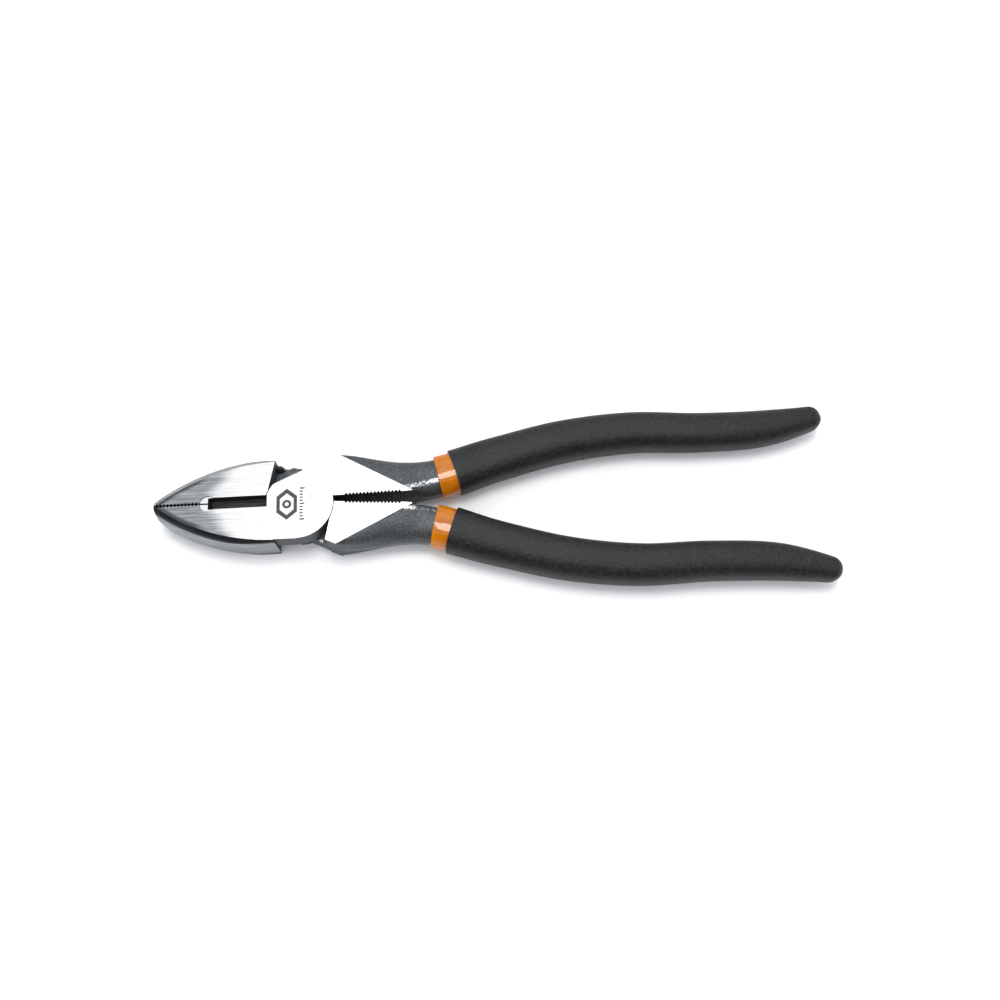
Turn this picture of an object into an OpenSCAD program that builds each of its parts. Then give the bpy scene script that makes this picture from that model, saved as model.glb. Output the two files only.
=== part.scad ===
// Lineman's pliers: two forged halves in a lap joint, one flush rivet,
// and on each handle an under-dip with a longer-wearing over-dip.
// Millimetres. The origin is on the pivot axis, in the plane that the head
// rests on. +X runs to the handle ends, +Z up through the head.

/* [Head] */
// Thickness across the ground faces
head_t = 15; // [14:0.5:17]
// Distance from the pivot to the nose
nose_reach = 49.9; // [48:0.1:52]
// Half of the jaws' width
jaw_half_w = 15.3; // [14.8:0.1:15.8]
// Radius of the jaws' curved side, seen from above
side_r = 64; // [60:1:67]
// Radius of the ground face's curved edge
face_r = 71.6; // [70:0.1:74]
// Closing line of the jaws, measured sideways from the pivot
closing_y = 1.3; // [0.8:0.1:1.6]
// Play between the closed jaws
jaw_play = 0.12; // [0.05:0.01:0.3]

/* [Joint] */
// Radius of the lap disc beside the other half's jaw
lap_r = 10.9; // [10.5:0.1:11.6]
// Radius of the lap disc beside the other half's handle
lap_big_r = 13; // [12.5:0.1:13.2]
// Distance from the pivot to the flat that joins the lap disc to its own handle
lap_flat = 10.1; // [9.6:0.1:10.4]
// Gap between a lap disc and the shoulder that passes it
shoulder_gap = 0.3; // [0.2:0.05:0.6]
// Gap between the two laps, face to face
lap_gap = 0.1; // [0.05:0.01:0.2]
// Radius of the rivet's shank
rivet_r = 4.5; // [3.5:0.1:5]
// Running clearance round the rivet
rivet_play = 0.05; // [0.02:0.01:0.1]

/* [Teeth and cutters] */
// Spacing of the gripping and crimping teeth
tooth_pitch = 1.25; // [1:0.05:1.6]
// Depth of a gripping tooth
nose_tooth_depth = 0.8; // [0.2:0.05:0.9]
// Depth of a crimping tooth
crimp_tooth_depth = 0.85; // [0.3:0.05:1]
// Teeth along the nose
nose_teeth = 12; // [4:1:12]
// Teeth along the crimping gap behind the joint
crimp_teeth = 16; // [4:1:16]
// Width of the recess over the cutting edges
cutter_w = 4.3; // [3:0.1:5]
// Length of the cutting edges
cutter_l = 20.7; // [14:0.1:20.8]

/* [Handles] */
// Turn of both handles about the joint
handle_turn = -1.6; // [-2:0.1:0]
// Where the handles end
handle_end = 190.6; // [184:0.1:194]
// Where the under-dip starts
band_start = 49.5; // [48:0.5:52]
// Where the over-dip starts
grip_start = 55.5; // [54:0.5:58]
// How much further up the lower-lap handle was dipped
dip_extra = 1; // [0:0.1:1.5]
// Wall of the under-dip
under_wall = 1.1; // [0.6:0.1:1.4]
// Wall of the over-dip
over_wall = 0.7; // [0.5:0.1:1.2]

/* [Hidden] */

mid = head_t / 2;
past = 1;                       // how far a cutting tool runs past the metal
film = 0.04;                    // gap between two bonded or pressed faces
$fn = 96;

// The handle's stations stand every station_step along X, the first at station_x.
// The outer two only steer the curve. Each is [centre line y, width, thickness] of the steel.
station_x = -5;
station_step = 25;
stations = [
    [9.8, 17.0, 13.6],
    [9.0, 15.4, 12.8],
    [8.45, 13.5, 11.4],
    [15.8, 12.0, 10.6],
    [22.2, 11.4, 10.4],
    [25.1, 10.8, 10.0],
    [24.5, 10.2, 9.4],
    [25.6, 9.1, 8.2],
    [31.0, 3.4, 4.8],
    [40.0, 1.5, 2.0]];
section_sides = 20;
section_power = 0.76;           // 1 is an ellipse, smaller is squarer
ring_step = 8;
tip_turns = [0, 25, 45, 62, 76, 86];
core_end = handle_end - over_wall - under_wall - 2 * film;

tang_start = 18;
diagonal_front = [14.3, 16.7];  // the ground face ends on the line between these two
diagonal_back = [38.3, 3.8];
diagonal_drop = 14;             // fall of the forged surface beyond that line, in degrees
crimp_front_half = 1.1;         // half of the crimping gap at its two ends
crimp_back_half = 2.05;
crimp_front_x = 13.1;
crimp_back_x = 38.3;

STEEL = [0.78, 0.79, 0.80];
AMBER = [0.85, 0.45, 0.05];
BLACK = [0.12, 0.12, 0.13];

// ---- Frames. A half is drawn as the one with its lap on top: jaw at -y, handle at +y,
// ---- the closing line on y = 0. The other half is the same drawing turned over.

module in_place(lap_on_top) {
    translate([0, closing_y, lap_on_top ? 0 : head_t])
        rotate([lap_on_top ? 0 : 180, 0, 0])
            children();
}

module on_handle(lap_on_top) {
    rotate([0, 0, lap_on_top ? handle_turn : -handle_turn]) children();
}

module on_pivot(lap_on_top) {
    translate([0, lap_on_top ? -closing_y : closing_y, 0]) children();
}

// ---- Handle curve

function blend(a, b, c, d, t) =
    (2 * b + (c - a) * t + (2 * a - 5 * b + 4 * c - d) * t * t + (3 * b - a - 3 * c + d) * t * t * t) / 2;

function station(x) =
    let (u = (x - station_x) / station_step, i = min(max(floor(u), 1), len(stations) - 3))
        blend(stations[i - 1], stations[i], stations[i + 1], stations[i + 2], u - i);

function slope(x) = atan(station(x + 0.5)[0] - station(x - 0.5)[0]);

function squarer(v) = sign(v) * pow(abs(v), section_power);

// One ring round the handle. grow adds to the steel's half width, shrink closes a tip.
function ring(x, grow, shrink) =
    let (s = station(x), half_w = shrink * (s[1] / 2 + grow), half_t = shrink * (s[2] / 2 + grow))
        [for (i = [0 : section_sides - 1])
            let (t = 360 * i / section_sides, across = half_w * squarer(cos(t)))
                [x - across * sin(slope(x)), s[0] + across * cos(slope(x)), mid + half_t * squarer(sin(t))]];

// Rings from a mouth at start_x to a rounded tip at end_x.
function handle_rings(start_x, end_x, grow) =
    let (tip = station(end_x)[1] / 2 + grow, last = end_x - tip, count = round((last - start_x) / ring_step))
        concat(
            [for (i = [0 : count - 1]) ring(start_x + (last - start_x) * i / count, grow, 1)],
            [for (t = tip_turns) ring(last + tip * sin(t), grow, cos(t))]);

function reversed(list) = [for (i = [len(list) - 1 : -1 : 0]) list[i]];

// A closed skin over a row of rings.
module skin(rings) {
    n = section_sides;
    last = len(rings) - 1;
    sides = [for (r = [0 : last - 1], i = [0 : n - 1])
        let (a = r * n + i, b = r * n + (i + 1) % n) [[a, b + n, b], [a, a + n, b + n]]];
    polyhedron(
        points = [for (r = rings) each r],
        faces = concat(
            [for (pair = sides) each pair],
            [[for (i = [0 : n - 1]) i]],
            [[for (i = [n - 1 : -1 : 0]) last * n + i]]));
}

// A dipped sleeve, closed at the tip: along its inside to the mouth, then back over its outside.
module sleeve(start_x, inner_end, inner, wall) {
    skin(concat(
        reversed(handle_rings(start_x, inner_end, inner)),
        handle_rings(start_x, inner_end + wall, inner + wall)));
}

// ---- Jaws

module jaw_outline() {
    nose_r = 8;
    side_x = -12.5;
    intersection() {
        translate([side_x, side_r - jaw_half_w]) circle(side_r, $fn = 256);
        translate([nose_r - nose_reach, 0]) {
            circle(nose_r);
            translate([0, -2 * nose_r]) square([nose_reach, 4 * nose_r]);
        }
        translate([-nose_reach, -2 * jaw_half_w]) square([nose_reach, 2 * jaw_half_w - jaw_play / 2]);
    }
}

// The edge of both ground faces: a narrow bevel, then a steep slope that widens towards the nose.
module jaw_lens() {
    lens_x = -6.4;
    face_half_w = 14.5;
    bevel_out = 1.3;
    bevel_down = 0.8;
    slope_out = 2.3;
    slope_down = 5;
    half_profile = [
        [0, 0], [face_r, 0], [face_r + bevel_out, bevel_down], [face_r + bevel_out + slope_out, slope_down]];
    translate([lens_x, face_r - face_half_w, 0])
        rotate_extrude($fn = 256)
            polygon(concat(half_profile, [for (p = reversed(half_profile)) [p[0], head_t - p[1]]]));
}

module ahead_of_shoulder() {
    polygon([[-60, 0], [-10.8, 0], [-7.4, -16], [-60, -16]]);
}

module jaw() {
    intersection() {
        linear_extrude(head_t) jaw_outline();
        jaw_lens();
        linear_extrude(head_t) ahead_of_shoulder();
    }
}

// ---- Lap joint

// Seen from above, this half's disc is big beside the other handle and small beside the other jaw.
module lap_disc(grow) {
    circle(lap_r + grow);
    intersection() {
        circle(lap_big_r + grow);
        rotate(-45) translate([0, -20]) square([20, 40]);
    }
}

// The disc's side towards its own handle is ground off straight.
module trimmed_disc() {
    flat_turn = 24.6;
    difference() {
        lap_disc(0);
        rotate(flat_turn) translate([-20, lap_flat]) square([40, 10]);
    }
}

module link_to_jaw() {
    polygon([[-14, -jaw_play / 2], [-14, -14.2], [0, -14.4], [4.6, -12.1], [4.6, -jaw_play / 2]]);
}

module link_to_handle() {
    polygon([
        [0, 0], [0, 9.9], [4.7, 12.1], [7.7, 13.4], [11, 15], [13, 12], [14, 6],
        [14, crimp_front_half + 0.2]]);
}

module lap(lap_on_top) {
    translate([0, 0, mid + lap_gap / 2])
        linear_extrude(mid - lap_gap / 2) {
            on_pivot(lap_on_top) trimmed_disc();
            intersection() {
                link_to_jaw();
                on_pivot(lap_on_top) circle(2 * lap_r);
            }
            on_handle(lap_on_top) link_to_handle();
        }
}

// Room for the other half's lap.
module lap_room(lap_on_top) {
    translate([0, 0, -past])
        linear_extrude(mid + lap_gap / 2 + past)
            on_pivot(lap_on_top) mirror([0, 1]) lap_disc(shoulder_gap);
}

// ---- Handle root: ground flat up to the diagonal, falling away beyond it

module root_outline() {
    polygon([
        [crimp_front_x, crimp_front_half], [crimp_back_x, crimp_back_half], [43, 2.6], [43, 12.6],
        [30, 13.6], diagonal_front, [10.6, 15.1]]);
}

module above_slope() {
    run = diagonal_back - diagonal_front;
    translate([diagonal_front[0], diagonal_front[1], head_t])
        rotate([0, 0, atan2(run[1], run[0])])
            rotate([-diagonal_drop, 0, 0])
                translate([-30, 0, 0]) cube([80, 40, 20]);
}

module root() {
    difference() {
        linear_extrude(head_t) root_outline();
        above_slope();
        translate([0, 0, head_t]) mirror([0, 0, 1]) above_slope();
    }
}

// The forged bar that runs back through the handle, trimmed clear of the crimping gap.
module core() {
    inset = 0.3;
    difference() {
        skin(handle_rings(tang_start, core_end, 0));
        translate([0, inset, -past])
            linear_extrude(head_t + 2 * past)
                polygon([
                    [crimp_front_x, -5], [crimp_front_x, crimp_front_half], [crimp_back_x, crimp_back_half],
                    [49, 1.6], [49, -5]]);
    }
}

// ---- Teeth and cutters

module tooth_row(count, depth) {
    half_w = 0.48 * tooth_pitch;
    translate([0, 0, -past])
        linear_extrude(head_t + 2 * past)
            for (i = [0 : count - 1])
                translate([i * tooth_pitch, 0]) polygon([[-half_w, 0], [0, -depth], [half_w, 0], [0, depth]]);
}

module nose_tooth_row() {
    translate([-48.6, 0, 0]) tooth_row(nose_teeth, nose_tooth_depth);
}

module crimp_tooth_row() {
    first = 4.5;
    proud = jaw_play / 2;
    translate([crimp_front_x, crimp_front_half - proud, 0])
        rotate([0, 0, atan2(crimp_back_half - crimp_front_half, crimp_back_x - crimp_front_x)])
            translate([first, 0, 0]) tooth_row(crimp_teeth, crimp_tooth_depth);
}

// Recess over the cutting edges, alike from both faces. The edges meet at mid thickness.
module cutter_recess() {
    edge_land = 0.4;
    bevel_depth = 3.2;
    back_end = -10.2;
    half_w = cutter_w / 2;
    side = [
        [half_w, head_t + past], [half_w, mid + bevel_depth], [jaw_play / 2, mid + edge_land],
        [jaw_play / 2, mid - edge_land], [half_w, mid - bevel_depth], [half_w, -past]];
    translate([back_end - cutter_l, 0, 0])
        rotate([90, 0, 90])
            linear_extrude(cutter_l)
                polygon(concat(side, [for (p = reversed(side)) [-p[0], p[1]]]));
}

// Shallow round relief at the front end of the cutter recess, in the upper face.
module spot_face() {
    depth = 0.4;
    translate([-31, closing_y, head_t - depth]) cylinder(r = 2.8, h = depth + past);
}

// ---- Rivet, flush at both ends

module rivet_shape(play) {
    head_h = 2;
    head_grow = 1.6;
    rotate_extrude()
        polygon([
            [0, 0], [rivet_r + head_grow + play, 0], [rivet_r + play, head_h],
            [rivet_r + play, head_t - head_h], [rivet_r + head_grow + play, head_t], [0, head_t]]);
}

// ---- The pieces

module half(lap_on_top) {
    color(STEEL)
        difference() {
            in_place(lap_on_top)
                difference() {
                    union() {
                        difference() {
                            union() {
                                jaw();
                                on_handle(lap_on_top) root();
                            }
                            lap_room(lap_on_top);
                        }
                        lap(lap_on_top);
                        on_handle(lap_on_top) core();
                    }
                    on_handle(lap_on_top) crimp_tooth_row();
                    nose_tooth_row();
                    cutter_recess();
                }
            spot_face();
            rivet_shape(lap_on_top ? film : rivet_play);
        }
}

function further(lap_on_top) = lap_on_top ? 0 : dip_extra;

module under_dip(lap_on_top) {
    color(AMBER)
        in_place(lap_on_top) on_handle(lap_on_top)
            sleeve(band_start - further(lap_on_top), core_end + film, film, under_wall);
}

module grip(lap_on_top) {
    color(BLACK)
        in_place(lap_on_top) on_handle(lap_on_top)
            sleeve(
                grip_start - further(lap_on_top), handle_end - over_wall,
                under_wall + 2 * film, over_wall);
}

module half_upper_lap() { half(true); }

module half_lower_lap() { half(false); }

module rivet() { color(STEEL) rivet_shape(0); }

module under_dip_upper_lap() { under_dip(true); }

module under_dip_lower_lap() { under_dip(false); }

module grip_upper_lap() { grip(true); }

module grip_lower_lap() { grip(false); }

half_upper_lap();
half_lower_lap();
rivet();
under_dip_upper_lap();
under_dip_lower_lap();
grip_upper_lap();
grip_lower_lap();
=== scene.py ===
"""Lineman's pliers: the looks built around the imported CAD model."""

import math

import bmesh
import bpy
from mathutils import Matrix, Vector


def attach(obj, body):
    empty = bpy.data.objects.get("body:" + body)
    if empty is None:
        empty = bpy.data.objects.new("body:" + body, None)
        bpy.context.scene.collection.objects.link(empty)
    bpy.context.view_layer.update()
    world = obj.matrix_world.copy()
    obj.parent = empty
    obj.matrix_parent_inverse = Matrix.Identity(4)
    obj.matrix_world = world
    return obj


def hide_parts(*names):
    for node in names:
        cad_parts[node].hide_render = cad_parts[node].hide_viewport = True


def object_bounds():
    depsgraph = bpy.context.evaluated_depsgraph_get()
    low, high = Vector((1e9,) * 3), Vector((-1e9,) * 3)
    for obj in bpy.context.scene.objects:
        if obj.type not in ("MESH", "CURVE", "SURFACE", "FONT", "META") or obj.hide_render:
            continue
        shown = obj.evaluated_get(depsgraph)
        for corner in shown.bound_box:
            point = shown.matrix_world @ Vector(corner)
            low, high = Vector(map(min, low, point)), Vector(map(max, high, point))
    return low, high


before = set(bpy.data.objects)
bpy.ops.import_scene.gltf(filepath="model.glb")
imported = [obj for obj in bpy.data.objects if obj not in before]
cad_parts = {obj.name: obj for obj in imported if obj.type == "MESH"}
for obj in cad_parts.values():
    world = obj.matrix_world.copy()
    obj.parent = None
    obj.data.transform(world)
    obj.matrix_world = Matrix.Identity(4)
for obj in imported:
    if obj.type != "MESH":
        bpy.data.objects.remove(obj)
cad_low, cad_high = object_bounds()

MM = 0.001
HEAD_T = (cad_high.z - cad_low.z) / MM
MID = HEAD_T / 2

# ---- Sizes that the CAD model doesn't give as boxes, in millimetres, in its own terms

CLOSING_Y = 1.3                     # the jaws' closing line, measured sideways from the pivot
HANDLE_TURN = math.radians(-1.6)
HANDLE_END = 190.6
UNDER_WALL = 1.1
OVER_WALL = 0.7
FILM = 0.04                         # the gap between two bonded faces
CORE_END = HANDLE_END - OVER_WALL - UNDER_WALL - 2 * FILM
BAND_START = 49.5
GRIP_START = 55.5
DIP_EXTRA = 1.0                     # how much further the handle with the lower lap was dipped

# Centre line y, width and thickness of the steel bar at each station
STATION_X = -5
STATION_STEP = 25
STATIONS = [
    (9.8, 17.0, 13.6),
    (9.0, 15.4, 12.8),
    (8.45, 13.5, 11.4),
    (15.8, 12.0, 10.6),
    (22.2, 11.4, 10.4),
    (25.1, 10.8, 10.0),
    (24.5, 10.2, 9.4),
    (25.6, 9.1, 8.2),
    (31.0, 3.4, 4.8),
    (40.0, 1.5, 2.0),
]
SECTION_POWER = 0.76                # 1 is an ellipse, smaller is squarer

# The root's outer corner, the ground face's diagonal end and one wall of the crimping gap
ROOT_FRONT = Vector((10.6, 15.1))
DIAGONAL_FRONT = Vector((14.3, 16.7))
DIAGONAL_BACK = Vector((38.3, 3.8))
DIAGONAL_FALL = math.tan(math.radians(14))
CRIMP_FRONT = Vector((13.1, 1.1))
CRIMP_BACK = Vector((38.3, 2.05))

# The ground faces' lens-shaped edge and the round relief ahead of the cutters
FACE_R = 71.6
FACE_HALF_W = 14.5
LENS_X = -6.4
SPOT_FACE_X = -31.0
SPOT_FACE_R = 2.8


# ---- Frames: a half is drawn with its lap on top, jaw at -y and handle at +y, as in the CAD source


def handle_to_row(point, lap_on_top):
    """A drawn point on a handle, in millimetres, to the row frame, in metres."""
    x, y, z = point
    turn = HANDLE_TURN if lap_on_top else -HANDLE_TURN
    x, y = x * math.cos(turn) - y * math.sin(turn), x * math.sin(turn) + y * math.cos(turn)
    if not lap_on_top:
        y, z = -y, HEAD_T - z
    return Vector((x, y + CLOSING_Y, z)) * MM


def head_to_drawn(point, lap_on_top):
    """A row point, in metres, to the drawing of the head, which isn't turned, in millimetres."""
    x, y, z = point / MM
    y -= CLOSING_Y
    if not lap_on_top:
        y, z = -y, HEAD_T - z
    return Vector((x, y, z))


def smooth_step(low, high, value):
    t = min(max((value - low) / (high - low), 0), 1)
    return t * t * (3 - 2 * t)


def mix(a, b, share):
    return a + (b - a) * share


def power(value, exponent):
    """A power that keeps the sign."""
    return math.copysign(abs(value) ** exponent, value)


def span(start, end, step):
    """Evenly spaced values about a step apart, from start up to but without end."""
    count = max(1, round((end - start) / step))
    return [start + (end - start) * i / count for i in range(count)]


# ---- The handle curve, as in the CAD source


def blend(a, b, c, d, t):
    """A Catmull-Rom curve from b to c."""
    return (2 * b + (c - a) * t + (2 * a - 5 * b + 4 * c - d) * t * t + (3 * b - a - 3 * c + d) * t**3) / 2


def station(x):
    """Centre line y, width and thickness of the steel bar at x."""
    u = (x - STATION_X) / STATION_STEP
    i = min(max(math.floor(u), 1), len(STATIONS) - 3)
    return [blend(*(STATIONS[i + k][n] for k in (-1, 0, 1, 2)), u - i) for n in range(3)]


def slope(x):
    return math.atan(station(x + 0.5)[0] - station(x - 0.5)[0])


def even_turns(sides):
    return [math.tau * i / sides for i in range(sides)]


def ridged_turns(sides):
    """Angles round a section, with a close pair beside each parting line for the ridge there."""
    close = math.radians(1.6)
    return sorted(even_turns(sides) + [close, math.pi - close, math.pi + close, math.tau - close])


DIP_TURNS = even_turns(48)
STEEL_TURNS = ridged_turns(60)
TIP_TURN = math.radians(86)         # short of 90, so that a tip's last ring stays open


def ring(x, grow, shrink=1.0, turns=DIP_TURNS):
    """Points round the bar at x, grown by a wall; shrink closes a tip."""
    centre, width, thickness = station(x)
    half_w, half_t = shrink * (width / 2 + grow), shrink * (thickness / 2 + grow)
    tilt = slope(x)
    points = []
    for t in turns:
        across = half_w * power(math.cos(t), SECTION_POWER)
        up = half_t * power(math.sin(t), SECTION_POWER)
        points.append(Vector((x - across * math.sin(tilt), centre + across * math.cos(tilt), MID + up)))
    return points


def tip_rings(end_x, grow, count=10, turns=DIP_TURNS):
    """Rings that round off a tip ending at end_x."""
    reach = station(end_x)[1] / 2 + grow
    stages = [TIP_TURN * i / count for i in range(count + 1)]
    return [ring(end_x - reach + reach * math.sin(t), grow, math.cos(t), turns) for t in stages]


# ---- Meshes


def to_object(made, name):
    mesh = bpy.data.meshes.new(name)
    made.to_mesh(mesh)
    made.free()
    made_object = bpy.data.objects.new(name, mesh)
    bpy.context.scene.collection.objects.link(made_object)
    return made_object


def walls(made, low_row, high_row):
    """Faces between two closed rows of as many vertices."""
    for i in range(len(low_row)):
        j = (i + 1) % len(low_row)
        made.faces.new((low_row[i], low_row[j], high_row[j], high_row[i]))


def skin(rings, lap_on_top, name):
    """A closed mesh over rings of drawn points on a handle."""
    made = bmesh.new()
    rows = [[made.verts.new(handle_to_row(p, lap_on_top)) for p in points] for points in rings]
    for a, b in zip(rows, rows[1:]):
        walls(made, a, b)
    made.faces.new(rows[0])
    made.faces.new(rows[-1])
    bmesh.ops.recalc_face_normals(made, faces=made.faces)
    return to_object(made, name)


def combine(target, tool, operation):
    """Applies a boolean and removes the tool."""
    modifier = target.modifiers.new("combine", "BOOLEAN")
    modifier.object = tool
    modifier.operation = operation
    modifier.solver = "MANIFOLD"
    graph = bpy.context.evaluated_depsgraph_get()
    mesh = bpy.data.meshes.new_from_object(target.evaluated_get(graph))
    target.modifiers.clear()
    target.data = mesh
    bpy.data.objects.remove(tool)


def shade(made_object, angle):
    """Smooth shading with edges kept sharp beyond an angle, in degrees."""
    mesh = made_object.data
    if mesh.has_custom_normals:
        mesh.attributes.remove(mesh.attributes["custom_normal"])
    mesh.polygons.foreach_set("use_smooth", [True] * len(mesh.polygons))
    mesh.set_sharp_from_angle(angle=math.radians(angle))


# ---- The two halves

ROOT_START = 13.2
ROOT_END = 60
SQUARE_OUT = 0.16                   # section powers of the root's two sides beside the joint
SQUARE_IN = 0.12
LEAST_HALF_T = 5.6                  # half the thickness where the forged surface stops falling
PARTING_RIDGE = 0.22
ROOM_CLEAR = 0.12                   # how far behind the diagonal the CAD handle is cut away
PAST = 3                            # how far a cutting tool runs past the metal

# Rough places that the forging left on the lower half's lap, where the other half doesn't sweep.
# Each is (middle, half sizes) in the row frame, in millimetres.
FORGING_LUMPS = [
    ((-7.2, 15.3, 5.6), (1.9, 1.2, 5.5)),
    ((-5.6, 15.4, 3.7), (1.8, 1.0, 3.6)),
    ((-2.5, 15.5, 3.7), (1.7, 1.3, 3.7)),
]
LUMP_POWER = 0.8


def on_line(start, end, x):
    """The height at x of the line through two points."""
    return start.y + (x - start.x) * (end.y - start.y) / (end.x - start.x)


def beyond_diagonal(x, y):
    """How far a drawn point is past the ground face's diagonal end."""
    run = (DIAGONAL_BACK - DIAGONAL_FRONT).normalized()
    return (x - DIAGONAL_FRONT.x) * -run.y + (y - DIAGONAL_FRONT.y) * run.x


def root_ring(x):
    """The forged root round x: square-edged beside the joint, rounding off towards the handle."""
    centre, width, _ = station(x)
    half_w = width / 2 * math.hypot(1, math.tan(slope(x)))
    outer = min(centre + half_w, on_line(ROOT_FRONT, DIAGONAL_FRONT, x) - 0.05)
    crimp_wall = on_line(CRIMP_FRONT, CRIMP_BACK, x) + 0.25
    inner = mix(crimp_wall, centre - half_w, smooth_step(38, 54, x))
    exponent_out = mix(SQUARE_OUT, SECTION_POWER, smooth_step(14, 36, x))
    exponent_in = mix(SQUARE_IN, SECTION_POWER, smooth_step(34, 56, x))
    points = []
    for t in STEEL_TURNS:
        exponent = exponent_out if math.cos(t) > 0 else exponent_in
        y = (outer + inner) / 2 + (outer - inner) / 2 * power(math.cos(t), exponent)
        fallen = MID - DIAGONAL_FALL * max(beyond_diagonal(x, y), 0.1)
        height = max(fallen, LEAST_HALF_T)
        points.append(Vector((x, y, MID + height * power(math.sin(t), exponent))))
    return points


def tang_ring(x):
    """The forging round x, with a low ridge along its outer parting line up to the dip."""
    share = smooth_step(40, 48.5, x)
    points = [a.lerp(b, share) for a, b in zip(root_ring(x), ring(x, 0, 1, STEEL_TURNS))]
    points[0].y += PARTING_RIDGE * smooth_step(16, 20, x) * (1 - smooth_step(47, 48, x))
    return points


def tang(lap_on_top):
    """The forged handle from its root to its tip."""
    reach = station(CORE_END)[1] / 2
    stations = span(ROOT_START, ROOT_END, 0.8) + span(ROOT_END, CORE_END - reach, 3)
    rings = [tang_ring(x) for x in stations]
    return skin(rings + tip_rings(CORE_END, 0, turns=STEEL_TURNS), lap_on_top, "tang")


def handle_room(lap_on_top):
    """An upright block over all that's behind the diagonal, to clear it for the forged handle."""
    run = (DIAGONAL_BACK - DIAGONAL_FRONT).normalized()
    side = Vector((-run.y, run.x)) * ROOM_CLEAR
    near, far = DIAGONAL_FRONT - run * 6 + side, DIAGONAL_BACK + run * 12 + side
    outline = [near, far, Vector((200, -10)), Vector((200, 60)), Vector((14, 60))]
    rings = [[(x, y, z) for x, y in outline] for z in (-PAST, HEAD_T + PAST)]
    return skin(rings, lap_on_top, "cut")


def lump(spot, size):
    made = bmesh.new()
    bmesh.ops.create_icosphere(made, subdivisions=4, radius=1)
    for vertex in made.verts:
        corner = (power(c, LUMP_POWER) * s + m for c, s, m in zip(vertex.co, size, spot))
        vertex.co = Vector(corner) * MM
    return to_object(made, "lump")


def build_half(node, lap_on_top, name):
    """The CAD half with its handle forged smooth."""
    made = bmesh.new()
    made.from_mesh(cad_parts[node].data)
    bmesh.ops.remove_doubles(made, verts=made.verts, dist=1e-7)
    half = to_object(made, name)
    combine(half, handle_room(lap_on_top), "DIFFERENCE")
    combine(half, tang(lap_on_top), "UNION")
    if not lap_on_top:
        for spot, size in FORGING_LUMPS:
            combine(half, lump(spot, size), "UNION")
    shade(half, 28)
    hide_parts(node)
    return half


# ---- Dips

SLEEVE_STEP = 1.5
LIP = 1.2                           # the length of a dip's rounded mouth


def sleeve(start_x, inner_end, inner, wall, lap_on_top, name):
    """A dipped sleeve: inside from the tip to the mouth, a rounded lip, then back over the outside."""
    inside_end = inner_end - station(inner_end)[1] / 2 - inner
    inside = [ring(x, inner) for x in span(start_x, inside_end, SLEEVE_STEP)]
    inside = (inside + tip_rings(inner_end, inner))[::-1]
    mouth = []
    for degrees in (20, 45, 70):
        rise = math.sin(math.radians(degrees))
        mouth.append(ring(start_x + LIP * (1 - rise) * 0.5, inner + wall * rise))
    outer = inner + wall
    outer_end = inner_end + wall
    tip_start = outer_end - station(outer_end)[1] / 2 - outer
    outside = [ring(x, outer) for x in span(start_x + LIP, tip_start, SLEEVE_STEP)]
    return skin(inside + mouth + outside + tip_rings(outer_end, outer), lap_on_top, name)


# ---- Shader helpers: an input is a value or another node's output, and most return an output


def put(tree, socket, value):
    if isinstance(value, bpy.types.NodeSocket):
        tree.links.new(value, socket)
    else:
        socket.default_value = value


def put_all(tree, node, inputs):
    """Sets a node's inputs by name, with underscores for spaces."""
    for name, value in inputs.items():
        put(tree, node.inputs[name.replace("_", " ")], value)


def add(tree, kind, options=None, **inputs):
    """A node with its settings and inputs."""
    made = tree.nodes.new("ShaderNode" + kind)
    for key, value in (options or {}).items():
        setattr(made, key, value)
    put_all(tree, made, inputs)
    return made


def math_node(tree, operation, a, b=0.0):
    made = add(tree, "Math", {"operation": operation})
    put(tree, made.inputs[0], a)
    put(tree, made.inputs[1], b)
    return made.outputs["Value"]


def plus(tree, a, b):
    return math_node(tree, "ADD", a, b)


def minus(tree, a, b):
    return math_node(tree, "SUBTRACT", a, b)


def times(tree, a, b):
    return math_node(tree, "MULTIPLY", a, b)


def larger(tree, a, b):
    return math_node(tree, "MAXIMUM", a, b)


def square(tree, a):
    return math_node(tree, "POWER", a, 2.0)


def apart(tree, a, b):
    """How far apart two values are."""
    return math_node(tree, "ABSOLUTE", minus(tree, a, b))


def distance_node(tree, a, b):
    """The length of the step (a, b)."""
    return math_node(tree, "SQRT", plus(tree, square(tree, a), square(tree, b)))


def spread(tree, value, low, high):
    """A value from 0 to 1, spread from low to high."""
    return add(tree, "MapRange", Value=value, To_Min=low, To_Max=high).outputs["Result"]


def step_node(tree, value, low, high):
    """0 below low, 1 above high, smooth between; the other way round when low is the larger."""
    made = add(tree, "MapRange", {"interpolation_type": "SMOOTHSTEP"}, Value=value)
    if low < high:
        put_all(tree, made, {"From_Min": low, "From_Max": high})
    else:
        put_all(tree, made, {"From_Min": high, "From_Max": low, "To_Min": 1.0, "To_Max": 0.0})
    return made.outputs["Result"]


def place_mm(tree):
    """x, y and z of the piece's own coordinates, in millimetres."""
    place = add(tree, "SeparateXYZ", Vector=add(tree, "TexCoord").outputs["Object"])
    return [times(tree, place.outputs[axis], 1000.0) for axis in "XYZ"]


EVEN = (1, 1, 1)                    # a grain that isn't stretched


def grain(tree, stretch, scale, detail=4.0, roughness=0.6):
    """Noise over the piece's own coordinates, stretched along the axes."""
    place = add(tree, "TexCoord").outputs["Object"]
    moved = add(tree, "Mapping", Vector=place, Scale=stretch).outputs["Vector"]
    return add(tree, "TexNoise", Vector=moved, Scale=scale, Detail=detail, Roughness=roughness).outputs[0]


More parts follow.
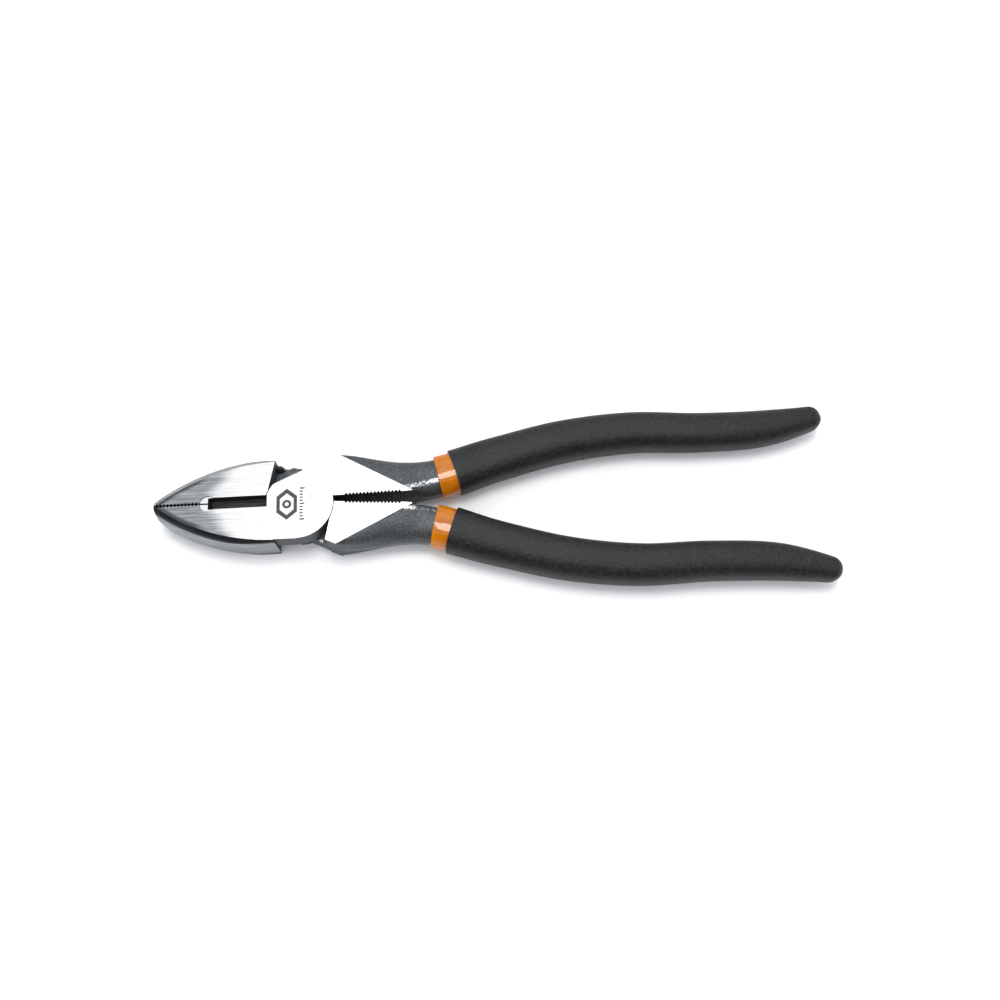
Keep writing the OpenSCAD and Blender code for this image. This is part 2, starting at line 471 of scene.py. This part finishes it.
def ramp(tree, factor, *stops):
    """A colour ramp; stops are (position, grey or colour)."""
    made = add(tree, "ValToRGB", Fac=factor)
    points = made.color_ramp.elements
    while len(points) < len(stops):
        points.new(0.5)
    for point, (position, colour) in zip(points, stops):
        point.position = position
        point.color = (*colour, 1) if isinstance(colour, tuple) else (colour, colour, colour, 1)
    return made.outputs["Color"]


def mix_colour(tree, factor, a, b):
    made = add(tree, "Mix", {"data_type": "RGBA"}, Factor=factor, A=a, B=b)
    return made.outputs["Result"]


def bump(tree, height, distance, strength, normal=None):
    made = add(tree, "Bump", Height=height, Distance=distance, Strength=strength)
    if normal is not None:
        put(tree, made.inputs["Normal"], normal)
    return made.outputs["Normal"]


def new_material(name):
    material = bpy.data.materials.new(name)
    material.use_nodes = True
    tree = material.node_tree
    return material, tree, tree.nodes["Principled BSDF"]


# ---- Steel

# The dark rim colour is a painted dark reflection along the edge of the nose's ground face.
RIM_PAINTED_REFLECTION = (0.03, 0.033, 0.036, 1)
DARK_SEAM = (0.012, 0.013, 0.014, 1)
# The dark edge colour is painted: a dark reflection along the jaw side's top edge and a shadow along its
# foot.
EDGE_REFLECTION_AND_SHADOW = (0.025, 0.027, 0.03, 1)
PARTING_LINE = (0.27, 0.28, 0.285, 1)


def bright_reflection_share(tree, x, aside, broad):
    """1 on bright ground steel, 0 on the nose, where a darker reflection is painted; the nose's edge is
    bowed and ragged.
    """
    bow = times(tree, square(tree, aside), 0.045)
    edge = plus(tree, minus(tree, x, bow), times(tree, broad, 7.0))
    behind_nose = step_node(tree, edge, -33.0, -26.0)
    from_spot = distance_node(tree, minus(tree, x, SPOT_FACE_X), aside)
    return larger(tree, behind_nose, step_node(tree, from_spot, SPOT_FACE_R, SPOT_FACE_R - 0.2))


def rim_reflection_share(tree, x, aside, broad):
    """How much painted dark reflection a place on the nose gets for being close to the ground face's edge.
    """
    across = plus(tree, aside, FACE_R - FACE_HALF_W)
    from_rim = minus(tree, FACE_R, distance_node(tree, minus(tree, x, LENS_X), across))
    from_rim = plus(tree, from_rim, times(tree, broad, 1.2))
    rim = times(tree, step_node(tree, from_rim, 1.7, 0.6), step_node(tree, x, -29.0, -36.0))
    return times(tree, rim, 0.85)


def ground_steel():
    """Bright ground faces, brushed lengthwise; on the nose a painted duller reflection, with a painted
    dark reflection along its rim, and a dark closing line.
    """
    material, tree, surface = new_material("ground_steel")
    streaks = grain(tree, (60, 2600, 200), 1.0, 5, 0.65)
    broad = minus(tree, grain(tree, (30, 500, 30), 1.0, 3), 0.5)
    x, y, _ = place_mm(tree)
    aside = apart(tree, y, CLOSING_Y)
    bright = ramp(tree, streaks, (0.3, 0.33), (0.5, 0.44), (0.7, 0.52))
    # The nose's colour is a painted duller, darker reflection.
    dull_nose_reflection = ramp(
        tree, streaks,
        (0.3, (0.07, 0.078, 0.082)), (0.5, (0.16, 0.172, 0.178)), (0.7, (0.32, 0.335, 0.34)),
    )
    colour = mix_colour(tree, bright_reflection_share(tree, x, aside, broad), dull_nose_reflection, bright)
    colour = mix_colour(tree, rim_reflection_share(tree, x, aside, broad), colour, RIM_PAINTED_REFLECTION)
    seam = times(tree, step_node(tree, aside, 0.36, 0.2), step_node(tree, x, -28.0, -28.4))
    put_all(tree, surface, {
        "Base_Color": mix_colour(tree, seam, colour, DARK_SEAM),
        "Metallic": 1.0,
        "Roughness": spread(tree, streaks, 0.26, 0.42),
        "Normal": bump(tree, streaks, 0.00001, 0.35),
    })
    return material


def satin_steel():
    """The jaws' outer side: satin grey with fine pitting, with painted dark bands where it meets the
    bevels: a painted dark reflection along the upper one and painted shadow along the lower one.
    """
    material, tree, surface = new_material("satin_steel")
    streaks = grain(tree, (120, 120, 1500), 1.0)
    pits = grain(tree, EVEN, 2500, 3)
    colour = ramp(tree, streaks, (0.3, (0.20, 0.21, 0.215)), (0.7, (0.36, 0.37, 0.375)))
    # A painted dark band along the top and bottom of the jaw side: painted reflection above, painted
    # shadow below.
    painted_edge_band = step_node(tree, apart(tree, place_mm(tree)[2], MID), 5.3, 6.0)
    put_all(tree, surface, {
        "Base_Color": mix_colour(tree, painted_edge_band, colour, EDGE_REFLECTION_AND_SHADOW),
        "Metallic": 1.0,
        "Roughness": spread(tree, pits, 0.32, 0.5),
        "Normal": bump(tree, pits, 0.00003, 0.4),
    })
    return material


def bevel_steel():
    """The narrow bevel round the ground faces: smoother than either side, so it mirrors the room."""
    material, tree, surface = new_material("bevel_steel")
    streaks = grain(tree, (90, 90, 900), 1.0, 3)
    put_all(tree, surface, {
        "Base_Color": ramp(tree, streaks, (0.3, (0.32, 0.33, 0.335)), (0.7, (0.48, 0.49, 0.495))),
        "Metallic": 1.0,
        "Roughness": spread(tree, streaks, 0.1, 0.18),
        "Normal": bump(tree, streaks, 0.00002, 0.4),
    })
    return material


# Bare places on the handle roots, in millimetres in the row frame.
# Each is (x start, x end, y at the start, rise of y along x, half width, how bare).
BARE_STRIPS = [
    (38.0, 52.0, 3.6, 0.25, 0.95, 0.62),
    (32.6, 42.0, -2.7, -0.09, 1.15, 0.66),
    (43.0, 50.0, -3.6, -0.12, 1.3, 0.4),
]
RUBBED_SPOT = (7.6, -12.6, 7.5)


def bare_strip(tree, x, y, strip):
    """How bare a place is because of one strip."""
    x_start, x_end, y_start, rise, half_w, strength = strip
    line = plus(tree, times(tree, x, rise), y_start - rise * x_start)
    inside = step_node(tree, apart(tree, y, line), 1.5 * half_w, 0.5 * half_w)
    inside = times(tree, inside, step_node(tree, x, x_start - 1, x_start + 1))
    inside = times(tree, inside, step_node(tree, x, x_end + 1, x_end - 1))
    return times(tree, inside, strength)


def bare_share(tree, x, y, z):
    """How bare a place is: the strips count on the upper side only, the rubbed spot is a ball."""
    bare = 0.0
    for strip in BARE_STRIPS:
        bare = larger(tree, bare, bare_strip(tree, x, y, strip))
    bare = times(tree, bare, step_node(tree, z, MID, MID + 1))
    from_spot = add(tree, "VectorMath", {"operation": "DISTANCE"})
    put(tree, from_spot.inputs[0], add(tree, "CombineXYZ", X=x, Y=y, Z=z).outputs["Vector"])
    put(tree, from_spot.inputs[1], RUBBED_SPOT)
    return larger(tree, bare, step_node(tree, from_spot.outputs["Value"], 1.4, 0.3))


def forged_steel():
    """Black-oxide forging skin with a grain, and bare metal where the flash was ground off."""
    material, tree, surface = new_material("forged_steel")
    skin_grain = grain(tree, EVEN, 1400, 5, 0.7)
    lumps = grain(tree, EVEN, 260, 3)
    bare_grain = grain(tree, (1.2, 0.9, 0.9), 1700, 4, 0.75)
    x, y, z = place_mm(tree)
    bare = bare_share(tree, x, y, z)
    uneven = times(tree, minus(tree, bare_grain, 0.5), 2.8)
    worn = step_node(tree, plus(tree, bare, uneven), 0.4, 0.75)
    worn = times(tree, worn, step_node(tree, bare, 0.05, 0.3))
    dark = ramp(
        tree, skin_grain,
        (0.3, (0.03, 0.033, 0.035)), (0.55, (0.07, 0.077, 0.081)), (0.78, (0.17, 0.18, 0.185)),
    )
    parting = times(tree, step_node(tree, apart(tree, z, MID), 0.5, 0.25), step_node(tree, x, 14.0, 16.0))
    dark = mix_colour(tree, times(tree, parting, 0.7), dark, PARTING_LINE)
    bright = ramp(tree, bare_grain, (0.4, 0.22), (0.62, 0.72))
    put_all(tree, surface, {
        "Base_Color": mix_colour(tree, worn, dark, bright),
        "Metallic": spread(tree, worn, 0.55, 1.0),
        "Roughness": spread(tree, worn, 0.52, 0.3),
        "Normal": bump(tree, plus(tree, skin_grain, times(tree, lumps, 1.5)), 0.00009, 0.8),
    })
    return material


def cutter_steel():
    """The cutting edges' bevels: fine-ground, oiled, greyer than the recess round them."""
    material, tree, surface = new_material("cutter_steel")
    streaks = grain(tree, (90, 2200, 2200), 1.0)
    put_all(tree, surface, {
        "Base_Color": ramp(tree, streaks, (0.3, 0.08), (0.7, 0.26)),
        "Metallic": 0.7,
        "Roughness": spread(tree, streaks, 0.4, 0.6),
        "Normal": bump(tree, streaks, 0.00003, 0.5),
    })
    return material


def dark_recess():
    """The teeth, the gaps and the recess round the cutting edges: machined, oiled and dark."""
    material, tree, surface = new_material("dark_recess")
    streaks = grain(tree, (2200, 90, 90), 1.0)
    put_all(tree, surface, {
        "Base_Color": ramp(tree, streaks, (0.3, (0.010, 0.011, 0.012)), (0.7, (0.045, 0.047, 0.050))),
        "Metallic": 0.6,
        "Roughness": spread(tree, streaks, 0.38, 0.55),
        "Normal": bump(tree, streaks, 0.00004, 0.5),
    })
    return material


def laser_etch():
    """Laser etching: grey-black, slightly uneven, matte."""
    material, tree, surface = new_material("laser_etch")
    uneven = grain(tree, EVEN, 1800)
    put_all(tree, surface, {
        "Base_Color": ramp(tree, uneven, (0.3, 0.022), (0.7, 0.075)),
        "Metallic": 0.3,
        "Roughness": spread(tree, uneven, 0.5, 0.7),
        "Normal": bump(tree, uneven, 0.00002, 0.5),
    })
    return material


# ---- Vinyl and floor


def amber_dip():
    """The glossy under-dip, a little cloudy."""
    material, tree, surface = new_material("amber_dip")
    cloud = grain(tree, EVEN, 160, 3)
    ripple = grain(tree, EVEN, 110, 2)
    put_all(tree, surface, {
        "Base_Color": ramp(
            tree, cloud,
            (0.3, (0.34, 0.090, 0.001)), (0.5, (0.43, 0.125, 0.001)), (0.75, (0.52, 0.17, 0.003)),
        ),
        "Specular_IOR_Level": 0.4,
        "Roughness": spread(tree, cloud, 0.03, 0.09),
        "Normal": bump(tree, ripple, 0.0003, 0.3),
    })
    return material


def black_dip():
    """The matte over-dip: charcoal vinyl with a fine pebble and soft thumbed patches."""
    material, tree, surface = new_material("black_dip")
    pebble = grain(tree, EVEN, 900, 3)
    patches = grain(tree, EVEN, 110)
    rough = plus(tree, times(tree, pebble, 0.18), times(tree, patches, 0.14))
    put_all(tree, surface, {
        "Base_Color": ramp(tree, pebble, (0.35, (0.003, 0.0035, 0.0045)), (0.65, (0.013, 0.015, 0.0165))),
        "Specular_IOR_Level": 0.3,
        "Roughness": plus(tree, rough, 0.34),
        "Normal": bump(tree, pebble, 0.0003, 0.9, bump(tree, patches, 0.0004, 0.4)),
    })
    return material


def plain_floor():
    material, tree, surface = new_material("pale_floor")
    mottle = grain(tree, EVEN, 12, 2)
    put_all(tree, surface, {
        "Base_Color": ramp(tree, mottle, (0.3, 0.93), (0.7, 0.95)),
        "Roughness": 0.9,
    })
    return material


# ---- What each face of a half is, by where it is in the drawing, in millimetres

FLAT = 0.99                         # least upward share of a flat face's normal
FACE_BAND = 0.05                    # how close to the head's top or underside its flat face is
SPOT_FACE_BAND = 0.45               # the same for the round relief ahead of the cutters
CUTTER_X = (-31.5, -9.5)
CUTTER_HALF_W = 2.6
NOSE_TEETH_X = (-49.2, -31)
CRIMP_X = (12.9, 40)
CRIMP_Y = (-2, 2.6)
JAW_BACK_X = -7.3

# The upright face between the jaw and the other half's lap runs back as it goes outwards
SHOULDER_X = -10.8
SHOULDER_W = 16
SHOULDER_LEAN = 3.4
SHOULDER_CLEAR = 0.3


def between(ends, value):
    return ends[0] < value < ends[1]


def on_shoulder(spot):
    """Whether a spot is on the shoulder's upright face or behind it."""
    line = SHOULDER_X - spot.y / SHOULDER_W * SHOULDER_LEAN
    return spot.x > line - SHOULDER_CLEAR


def finish_at(spot, level):
    """The finish at a drawn spot; level is 1 on a flat face and 0 on an upright one."""
    from_face = min(spot.z, HEAD_T - spot.z)
    on_face = from_face < FACE_BAND or (from_face < SPOT_FACE_BAND and spot.x < -25)
    if on_face and level > FLAT:
        return "ground"
    if between(CUTTER_X, spot.x) and abs(spot.y) < CUTTER_HALF_W:
        return "cutter" if 0.5 < level < 0.9 else "recess"
    if between(NOSE_TEETH_X, spot.x) and abs(spot.y) < 1 and level < 0.2:
        return "recess"
    if spot.x < JAW_BACK_X and spot.y < 0 and not on_shoulder(spot):
        return "bevel" if level > 0.5 else "satin"
    if between(CRIMP_X, spot.x) and between(CRIMP_Y, spot.y):
        return "recess"
    return "forged"


def paint_half(half, lap_on_top, materials):
    """Gives each face of a half its finish."""
    names = ["ground", "satin", "bevel", "forged", "cutter", "recess"]
    half.data.materials.clear()
    for name in names:
        half.data.materials.append(materials[name])
    for polygon in half.data.polygons:
        spot = head_to_drawn(polygon.center, lap_on_top)
        finish = finish_at(spot, abs(polygon.normal.z))
        polygon.material_index = names.index(finish)
        polygon.use_smooth = finish in ("satin", "bevel", "forged")


# ---- A generic mark on the lap: a tall hexagon round a ring, with a row of ticks beside it

MARK_X = -3.2
MARK_Y = -0.4
MARK_HIGH = HEAD_T + 0.012
MARK_LOW = HEAD_T - 0.02
TICK_COUNT = 11
TICK_PITCH = 1.15
TICK_HALF_W = 0.27
TICK_X = 4.5
LONG_TICK = 1.7
SHORT_TICK = 1.1


def outline(radius_at, tall=1.0, count=72):
    """Points at a radius that depends on the angle, stretched along y."""
    return [(radius_at(a) * math.cos(a), tall * radius_at(a) * math.sin(a)) for a in even_turns(count)]


def circle(radius):
    return outline(lambda angle: radius)


def hexagon(flat, tall):
    """A hexagon that is flat wide from its middle to a side, stretched along y."""
    half = math.pi / 6
    return outline(lambda angle: flat / math.cos((angle + half) % (math.pi / 3) - half), tall)


def mark_row(made, points, z):
    """Vertices round an outline drawn about the mark's own middle."""
    middle = Vector((MARK_X, MARK_Y, z))
    return [made.verts.new((Vector((x, y, 0)) + middle) * MM) for x, y in points]


def mark_band(made, outside, inside):
    """A closed band between two outlines of as many points."""
    edges = ((outside, MARK_HIGH), (inside, MARK_HIGH), (inside, MARK_LOW), (outside, MARK_LOW))
    rows = [mark_row(made, points, z) for points, z in edges]
    for a, b in zip(rows, rows[1:] + rows[:1]):
        walls(made, a, b)


def mark_tick(made, y, reach):
    low_y, high_y = y - TICK_HALF_W, y + TICK_HALF_W
    corners = [(TICK_X, low_y), (TICK_X + reach, low_y), (TICK_X + reach, high_y), (TICK_X, high_y)]
    top = mark_row(made, corners, MARK_HIGH)
    foot = mark_row(made, corners, MARK_LOW)
    made.faces.new(top)
    made.faces.new(foot)
    walls(made, top, foot)


def etched_mark():
    """Thin shapes that stand a hair above the ground face; every fifth tick is a long one."""
    made = bmesh.new()
    mark_band(made, hexagon(3.6, 1.4), hexagon(2.4, 1.46))
    mark_band(made, circle(1.6), circle(0.7))
    for i in range(TICK_COUNT):
        mark_tick(made, (i - TICK_COUNT // 2) * TICK_PITCH, LONG_TICK if i % 5 == 0 else SHORT_TICK)
    bmesh.ops.recalc_face_normals(made, faces=made.faces)
    return to_object(made, "etched_mark")


# ---- Pieces

materials = {
    "ground": ground_steel(),
    "satin": satin_steel(),
    "bevel": bevel_steel(),
    "forged": forged_steel(),
    "cutter": cutter_steel(),
    "recess": dark_recess(),
    "amber": amber_dip(),
    "black": black_dip(),
}
DIP_SHARP = 60                      # edges beyond this many degrees stay sharp on a dip

for lap_on_top, suffix, body in ((True, "upper_lap", "upper_half"), (False, "lower_lap", "lower_half")):
    extra = 0 if lap_on_top else DIP_EXTRA
    half = build_half("half_" + suffix, lap_on_top, "steel_" + suffix)
    paint_half(half, lap_on_top, materials)
    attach(half, body)

    start_x = BAND_START - extra
    under = sleeve(start_x, CORE_END + FILM, FILM, UNDER_WALL, lap_on_top, "amber_dip_" + suffix)
    under.data.materials.append(materials["amber"])
    shade(under, DIP_SHARP)
    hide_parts("under_dip_" + suffix)
    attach(under, body)

    start_x = GRIP_START - extra
    inner_end = HANDLE_END - OVER_WALL
    inner_wall = UNDER_WALL + 2 * FILM
    grip = sleeve(start_x, inner_end, inner_wall, OVER_WALL, lap_on_top, "black_grip_" + suffix)
    grip.data.materials.append(materials["black"])
    shade(grip, DIP_SHARP)
    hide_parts("grip_" + suffix)
    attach(grip, body)

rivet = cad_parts["rivet"]
rivet.data.materials.clear()
rivet.data.materials.append(materials["ground"])

mark = etched_mark()
mark.data.materials.append(laser_etch())
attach(mark, "upper_half")

# ---- Floor, light and camera, in metres and watts

FLOOR_HALF = 3
FLOOR_GAP = 0.0003

floor_made = bmesh.new()
bmesh.ops.create_grid(floor_made, x_segments=1, y_segments=1, size=FLOOR_HALF)
floor = to_object(floor_made, "floor")
floor.location = (cad_low.x, 0, cad_low.z - FLOOR_GAP)
floor.data.materials.append(plain_floor())


def softbox(name, position, target, size, power_w):
    lamp = bpy.data.lights.new(name, "AREA")
    lamp.shape = "RECTANGLE"
    lamp.size, lamp.size_y = size
    lamp.energy = power_w
    made = bpy.data.objects.new(name, lamp)
    made.location = position
    made.rotation_euler = (Vector(target) - Vector(position)).to_track_quat("-Z", "Y").to_euler()
    bpy.context.scene.collection.objects.link(made)


middle = (cad_low + cad_high) / 2
softbox("key_softbox", (0.05, 0.42, 0.85), middle, (1.0, 0.7), 2.6)
softbox("overhead_window", (0.07, 0.1, 0.8), middle, (0.25, 0.26), 2.4)

BACKDROP = (1.0, 1.0, 1.0, 1)
WALLS = (0.92, 0.94, 0.97, 1)
SHADED_WALLS = (0.3, 0.31, 0.33, 1)
BLACK_SCREEN = (0.025, 0.027, 0.03, 1)


def studio_world():
    """A white room, as mirrored by gloss: grey round the near side and the nose's end, black above."""
    made = bpy.data.worlds.new("studio")
    made.use_nodes = True
    tree = made.node_tree
    direction = add(tree, "SeparateXYZ", Vector=add(tree, "TexCoord").outputs["Generated"])
    x, y, z = (direction.outputs[axis] for axis in "XYZ")
    rays = add(tree, "LightPath")
    near = step_node(tree, y, -0.24, -0.55)
    past_nose = step_node(tree, x, -0.45, -0.75)
    shaded = times(tree, larger(tree, near, past_nose), rays.outputs["Is Glossy Ray"])
    room = mix_colour(tree, shaded, WALLS, SHADED_WALLS)
    screen = times(tree, step_node(tree, z, 0.3, 0.5), step_node(tree, x, 0.45, 0.3))
    room = mix_colour(tree, times(tree, shaded, screen), room, BLACK_SCREEN)
    shown = mix_colour(tree, rays.outputs["Is Camera Ray"], room, BACKDROP)
    put(tree, tree.nodes["Background"].inputs["Color"], shown)
    return made


bpy.context.scene.world = studio_world()
bpy.context.scene.view_settings.view_transform = "Standard"

EYE = Vector((64.92, -120.46, 345.56)) * MM
AIM = Vector((71.64, -0.56, 8.0)) * MM
LEVEL_RIGHT = Vector((0.99843, -0.05598, 0)).normalized()


def photo_camera():
    """The camera at EYE, aimed at AIM, with LEVEL_RIGHT to the right in its picture."""
    lens = bpy.data.cameras.new("photo_angle")
    lens.lens = 36
    lens.sensor_width = 36
    lens.clip_start = 0.01
    made = bpy.data.objects.new("photo_angle", lens)
    back = (EYE - AIM).normalized()
    up = back.cross(LEVEL_RIGHT).normalized()
    right = up.cross(back)
    made.matrix_world = Matrix.Translation(EYE) @ Matrix((right, up, back)).transposed().to_4x4()
    bpy.context.scene.collection.objects.link(made)
    return made


bpy.context.scene.camera = photo_camera()
